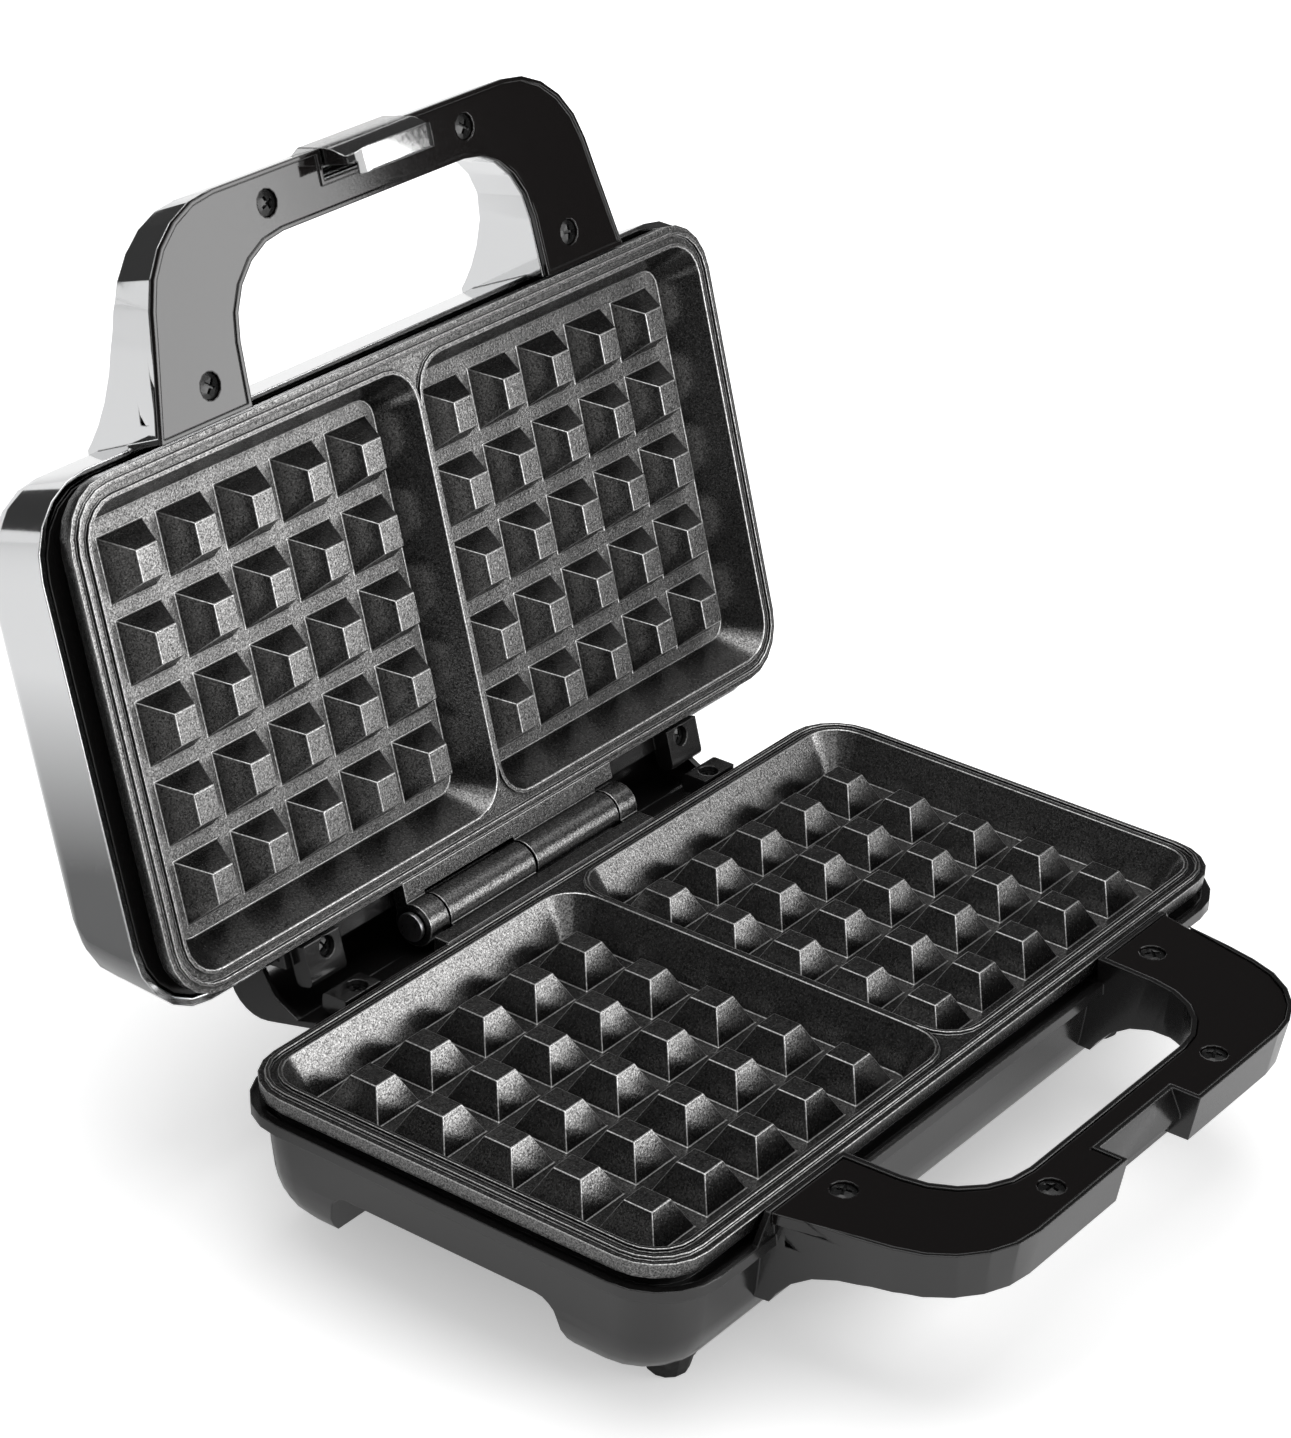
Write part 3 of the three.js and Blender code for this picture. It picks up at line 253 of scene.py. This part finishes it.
def plain(name, colour, rough_low, rough_high, metallic=0.0):
    material, tree, shader = new_material(name)
    fine = add_noise(tree, PLAIN_SCALE, 3)
    shaded = tuple(c * 0.8 for c in colour)
    tint = mix_colour(tree, spread(tree, fine, 0, 1), colour, shaded)
    tree.links.new(tint, shader.inputs["Base Color"])
    shader.inputs["Metallic"].default_value = metallic
    tree.links.new(spread(tree, fine, rough_low, rough_high), shader.inputs["Roughness"])
    return material


# ------------------------------------------------------------------ stage
FLOOR_HALF = 3.0
FLOOR_GLOW = {"near": 0.08, "far": 0.24, "at_near": 0.38, "at_far": 1.0}
MIRRORED_FLOOR = 0.48                  # the floor's glow as the object mirrors it
AMBIENT = 0.3

# painted shade seen only in reflections: a dark sheet on the floor beside the lid
SHADE_HALF = 0.3
SHADE_PLACE = (-0.15, 0.17, 0.001)
SHADE_FADE = {"near": 0.03, "far": 0.14, "at_near": 0.15, "at_far": 1}

# lamps: place, what it faces, width and height, power in watts
LAMPS = {
    "key": ((0.66, -1.24, 0.33), (0, 0, 0.12), (1.05, 0.6), 8.5),
    "top": ((0, 0, 1.8), (0, 0, 0), (1.5, 1.5), 13),
}

# upright cards round the object: place, width and height, brightness
DARK = 0.05
WHITE = 1
CARDS = {
    "card_right": ((1.43, -0.54, 0.6), (1.3, 1.2), DARK),
    "card_back": ((1.0, 0.78, 1.05), (2.2, 1.5), DARK),
    "card_left": ((-0.98, 0.62, 0.5), (1.5, 0.9), DARK),
    "card_near": ((-1.15, -0.35, 0.6), (1.5, 1.2), DARK),
    "card_latch": ((0.69, 0.79, 0.42), (0.4, 0.05), WHITE),
    "card_shoulder": ((-0.1, 1.15, 0.58), (1.1, 0.8), DARK),
}

# dark cloths on the floor beside the object, by their corners
CLOTH_HEIGHT = 0.002
CLOTHS = {
    "cloth_left": (
        (-1.15, -0.9), (-0.3, -0.9), (-0.3, 0.08), (-0.42, 0.12), (-0.5, 0.4), (-1.15, 0.4),
    ),
    "cloth_right": ((0.24, -0.16), (1.9, -1.95), (1.9, -0.2), (0.3, 0.1)),
}


def add_sheet(name, corners):
    mesh = bpy.data.meshes.new(name)
    mesh.from_pydata(corners, [], [tuple(range(len(corners)))])
    sheet = bpy.data.objects.new(name, mesh)
    bpy.context.scene.collection.objects.link(sheet)
    return sheet


def rectangle(half_x, half_y):
    return [(-half_x, -half_y, 0), (half_x, -half_y, 0), (half_x, half_y, 0), (-half_x, half_y, 0)]


def fade(tree, band):
    away = distance_from_middle(tree)
    return remap(tree, away, band["near"], band["far"], band["at_near"], band["at_far"])


# white to the camera a little way off, with the object's own shadow kept beside it
def make_floor():
    floor = add_sheet("floor", rectangle(FLOOR_HALF, FLOOR_HALF))
    material, tree, shader = new_material("floor")
    shader.inputs["Base Color"].default_value = (0.9, 0.9, 0.9, 1)
    shader.inputs["Roughness"].default_value = 0.7
    shader.inputs["Specular IOR Level"].default_value = 0.1
    rays = tree.nodes.new("ShaderNodeLightPath")
    either = tree.nodes.new("ShaderNodeMath")
    either.operation = "MULTIPLY_ADD"
    tree.links.new(rays.outputs["Is Glossy Ray"], either.inputs[0])
    either.inputs[1].default_value = MIRRORED_FLOOR
    tree.links.new(rays.outputs["Is Camera Ray"], either.inputs[2])
    seen = combine(tree, "MULTIPLY", fade(tree, FLOOR_GLOW), either.outputs[0])
    glow = tree.nodes.new("ShaderNodeEmission")
    tree.links.new(seen, glow.inputs["Strength"])
    both = tree.nodes.new("ShaderNodeAddShader")
    tree.links.new(shader.outputs[0], both.inputs[0])
    tree.links.new(glow.outputs[0], both.inputs[1])
    tree.links.new(both.outputs[0], tree.nodes["Material Output"].inputs["Surface"])
    floor.data.materials.append(material)


# white to the camera and in reflections, a soft grey light otherwise
def make_world():
    world = bpy.data.worlds.new("studio")
    bpy.context.scene.world = world
    world.use_nodes = True
    tree = world.node_tree
    tree.nodes["Background"].inputs["Color"].default_value = (AMBIENT, AMBIENT, AMBIENT, 1)
    white = tree.nodes.new("ShaderNodeBackground")
    white.inputs["Color"].default_value = (1, 1, 1, 1)
    rays = tree.nodes.new("ShaderNodeLightPath")
    seen = combine(tree, "MAXIMUM", rays.outputs["Is Camera Ray"], rays.outputs["Is Glossy Ray"])
    mix = tree.nodes.new("ShaderNodeMixShader")
    tree.links.new(seen, mix.inputs[0])
    tree.links.new(tree.nodes["Background"].outputs[0], mix.inputs[1])
    tree.links.new(white.outputs[0], mix.inputs[2])
    tree.links.new(mix.outputs[0], tree.nodes["World Output"].inputs["Surface"])


def aim(thing, location, target):
    towards = Vector(target) - Vector(location)
    thing.location = location
    thing.rotation_euler = towards.to_track_quat("-Z", "Y").to_euler()


def area_light(name, location, target, size, power):
    data = bpy.data.lights.new(name, "AREA")
    data.shape = "RECTANGLE"
    data.size, data.size_y = size
    data.energy = power
    light = bpy.data.objects.new(name, data)
    bpy.context.scene.collection.objects.link(light)
    aim(light, location, target)


def only_in_reflections(card):
    card.visible_camera = False
    card.visible_diffuse = False
    card.visible_shadow = False


def glowing(name, level):
    material, tree, shader = new_material(name)
    shader.inputs["Base Color"].default_value = (0, 0, 0, 1)
    shader.inputs["Specular IOR Level"].default_value = 0
    shader.inputs["Emission Color"].default_value = (1, 1, 1, 1)
    shader.inputs["Emission Strength"].default_value = level
    return material


# stands upright and faces the object
def add_card(name, location, size, level):
    sheet = add_sheet(name, rectangle(size[0] / 2, size[1] / 2))
    aim(sheet, location, (0, 0, location[2]))
    sheet.data.materials.append(glowing(name, level))
    only_in_reflections(sheet)


def dark_cloth(name, corners):
    cloth = add_sheet(name, [(x, y, CLOTH_HEIGHT) for x, y in corners])
    cloth.data.materials.append(glowing(name, DARK))
    only_in_reflections(cloth)


# painted shade: a dark spot seen only in reflections, on the floor where the side of the lid's
# shell mirrors it, fading outwards; it stands in for the shadow on the floor beside the lid
def floor_shade():
    shade = add_sheet("floor_shade", rectangle(SHADE_HALF, SHADE_HALF))
    shade.location = SHADE_PLACE
    material, tree, shader = new_material("floor_shade")
    shader.inputs["Base Color"].default_value = (0.02, 0.02, 0.02, 1)
    clear = tree.nodes.new("ShaderNodeBsdfTransparent")
    mix = tree.nodes.new("ShaderNodeMixShader")
    tree.links.new(fade(tree, SHADE_FADE), mix.inputs[0])
    tree.links.new(shader.outputs[0], mix.inputs[1])
    tree.links.new(clear.outputs[0], mix.inputs[2])
    tree.links.new(mix.outputs[0], tree.nodes["Material Output"].inputs["Surface"])
    shade.data.materials.append(material)
    only_in_reflections(shade)


def make_studio():
    make_floor()
    make_world()
    for name, (location, target, size, power) in LAMPS.items():
        area_light(name, location, target, size, power)
    for name, (location, size, level) in CARDS.items():
        add_card(name, location, size, level)
    for name, corners in CLOTHS.items():
        dark_cloth(name, corners)
    floor_shade()


# ------------------------------------------------------------------ looks of the CAD nodes
SLOT_MAKERS = {
    "casing_black": lambda: moulded("casing_black", (0.011, 0.0105, 0.0105), 0.14, 0.22, 0.7),
    "cover_black": lambda: moulded("cover_black", (0.0085, 0.007, 0.0068), 0.05, 0.09, 0.6),
    "bright_plating": lambda: chrome("bright_plating", (0.66, 0.665, 0.67), 0.05, 0.09),
    "polished_steel": lambda: chrome("polished_steel", (0.58, 0.58, 0.58), 0.1, 0.16),
    "non_stick": non_stick,
    "steel": lambda: plain("steel", (0.5, 0.5, 0.51), 0.25, 0.4, 1.0),
    "bright_sheet": lambda: plain("bright_sheet", (0.62, 0.62, 0.63), 0.2, 0.3, 1.0),
    "rubber": lambda: plain("rubber", (0.014, 0.014, 0.014), 0.6, 0.8),
    "ceramic": lambda: plain("ceramic", (0.66, 0.62, 0.52), 0.5, 0.7),
    "red_lens": lambda: plain("red_lens", (0.45, 0.02, 0.01), 0.08, 0.15),
    "green_lens": lambda: plain("green_lens", (0.02, 0.25, 0.05), 0.08, 0.15),
}

PLATES = ("base_plate", "lid_plate")

# their materials round off their edges, so that their meshes keep them sharp
SOFT_BY_MATERIAL = (
    "base_casing", "lid_shell", "lid_frame", "base_handle_cover", "lid_handle_cover", "latch",
)
PLATE_ROUND = 0.21 * MM
SMALL_ROUND = 0.15 * MM
WELD = 0.001 * MM
COPLANAR = math.radians(0.15)
SHARP = math.radians(28)


def keep_edges(node):
    split = node.modifiers.new("split", "EDGE_SPLIT")
    split.split_angle = SHARP


# the coated plates have rounded edges, worn bright and given a painted highlight; small pieces
# have a finer round
def round_edges(node, wear_and_highlight):
    flat = node.modifiers.new("flat", "DECIMATE")
    flat.decimate_type = "DISSOLVE"
    flat.angle_limit = COPLANAR
    bevel = node.modifiers.new("round", "BEVEL")
    bevel.width = PLATE_ROUND if wear_and_highlight else SMALL_ROUND
    bevel.segments = 2
    bevel.limit_method = "ANGLE"
    bevel.angle_limit = SHARP
    bevel.use_clamp_overlap = not wear_and_highlight
    # the bevel faces take the lighter edge colour: wear and a painted highlight
    if wear_and_highlight:
        node.data.materials.append(wear_and_highlight)
        bevel.material = 1


def dress_nodes():
    made = {slot: make() for slot, make in SLOT_MAKERS.items()}
    wear_and_highlight = worn_highlit_edge()
    slots = {row["node"]: row["material_slot"] for row in frame["record"]["subparts"]}
    for name, node in frame["nodes"].items():
        node.data.materials.clear()
        node.data.materials.append(made[slots[name]])
        for polygon in node.data.polygons:
            polygon.use_smooth = True
        weld = node.modifiers.new("weld", "WELD")
        weld.merge_threshold = WELD
        if name in SOFT_BY_MATERIAL:
            keep_edges(node)
        else:
            round_edges(node, wear_and_highlight if name in PLATES else None)
        smooth = node.modifiers.new("normals", "WEIGHTED_NORMAL")
        smooth.keep_sharp = True
        smooth.weight = 100


# ------------------------------------------------------------------ screws
HEAD_STEPS = 24
HEAD_HEIGHT = 1.2 * MM
DOME_DROP = 0.45                       # of the head's height, from its middle to its rim
CROSS_REACH = 0.62                     # of the head's radius
CROSS_HALF_ARM = 0.13
CROSS_DEPTH = 0.6                      # of the head's height
CROSS_TAPER = 0.8                      # floor of the recess to its mouth

# in the handle covers, two on the arms and two along the front
HANDLE_HEAD_RADIUS = 2.9 * MM
ARM_FROM_SIDE = 16.9 * MM
ARM_FROM_ROOT = 6.6 * MM
FRONT_FROM_SIDE = 45.9 * MM
FRONT_FROM_EDGE = 6.0 * MM

# in the ears beside the hinge, at EAR_HALF to either side of the middle
EAR_HEAD_RADIUS = 2.4 * MM
EAR_HALF = 67 * MM
EAR_FROM_HINGE = 6.6 * MM
EAR_SUNK = 2.6 * MM

# angle that a screw stops at, in radians
TWIST_START = 0.35
TWIST_PER_MM = 1.1
TWIST_RIGHT = 0.5
TWIST_BODY = 0.3


# pan head with a cross recess, face up, its seat at the origin
def screw_head(name, radius, height, material):
    cross = CROSS_REACH * radius
    arm = CROSS_HALF_ARM * radius
    mesh = bpy.data.meshes.new(name)
    bm = bmesh.new()

    def dome(x, y):
        share = min(1.0, (x * x + y * y) / (radius * radius))
        return height * (1 - DOME_DROP * share)

    rim, foot = [], []
    for k in range(HEAD_STEPS):
        angle = 2 * math.pi * k / HEAD_STEPS
        x, y = radius * math.cos(angle), radius * math.sin(angle)
        rim.append(bm.verts.new((x, y, dome(x, y))))
        foot.append(bm.verts.new((x, y, 0)))
    ordered = []
    for quarter in range(4):
        turn = Matrix.Rotation(math.pi / 2 * quarter, 3, "Z")
        for corner in ((cross, -arm, 0), (cross, arm, 0), (arm, arm, 0)):
            ordered.append(turn @ Vector(corner))
    well_floor = dome(0, 0) - CROSS_DEPTH * height
    lip = [bm.verts.new((p.x, p.y, dome(p.x, p.y))) for p in ordered]
    well = [bm.verts.new((p.x * CROSS_TAPER, p.y * CROSS_TAPER, well_floor)) for p in ordered]
    for i in range(HEAD_STEPS):
        j = (i + 1) % HEAD_STEPS
        bm.faces.new((foot[i], foot[j], rim[j], rim[i]))
    for i in range(len(ordered)):
        j = (i + 1) % len(ordered)
        bm.faces.new((lip[i], lip[j], well[j], well[i]))
    bm.faces.new(well)
    bm.faces.new(list(reversed(foot)))
    edges = []
    for loop in (rim, lip):
        for i in range(len(loop)):
            edges.append(bm.edges.get((loop[i], loop[(i + 1) % len(loop)])))
    bmesh.ops.triangle_fill(bm, use_beauty=True, edges=edges)
    bmesh.ops.recalc_face_normals(bm, faces=bm.faces)
    bm.to_mesh(mesh)
    bm.free()
    mesh.materials.append(material)
    head = bpy.data.objects.new(name, mesh)
    bpy.context.scene.collection.objects.link(head)
    return head


# different for each screw
def screw_twist(half, x, side):
    right = TWIST_RIGHT if x > 0 else 0
    return TWIST_START + TWIST_PER_MM * half / MM + right + TWIST_BODY * side


# screws mirrored about the parting plane: the lid's are laid in closed, then turned open with it
def place_screws(where, half, y, sunk, radius, material):
    for end, x in (("left", -half), ("right", half)):
        for body, side in (("base", -1), ("lid", 1)):
            head = screw_head(f"{body}_{where}_screw_{end}", radius, HEAD_HEIGHT, material)
            seat = Matrix.Translation((x, y, PARTING + side * sunk))
            if side > 0:
                seat = TURN_OPEN @ seat @ Matrix.Rotation(math.pi, 4, "X")
            head.matrix_world = seat @ Matrix.Rotation(screw_twist(half, x, side), 4, "Z")
            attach(head, body)


def add_screws():
    dark = plain("blackened_steel", (0.045, 0.045, 0.045), 0.2, 0.3, 0.85)
    (_, front, _), (side, root, face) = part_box("base_handle_cover")
    sunk = PARTING - face + HEAD_HEIGHT
    place_screws("arm", side - ARM_FROM_SIDE, root - ARM_FROM_ROOT, sunk,
                 HANDLE_HEAD_RADIUS, dark)
    place_screws("front", side - FRONT_FROM_SIDE, front + FRONT_FROM_EDGE, sunk,
                 HANDLE_HEAD_RADIUS, dark)
    place_screws("ear", EAR_HALF, AXIS.y - EAR_FROM_HINGE, EAR_SUNK, EAR_HEAD_RADIUS, dark)


make_camera()
make_studio()
dress_nodes()
add_screws()
scene = bpy.context.scene
scene.view_settings.view_transform = "Standard"
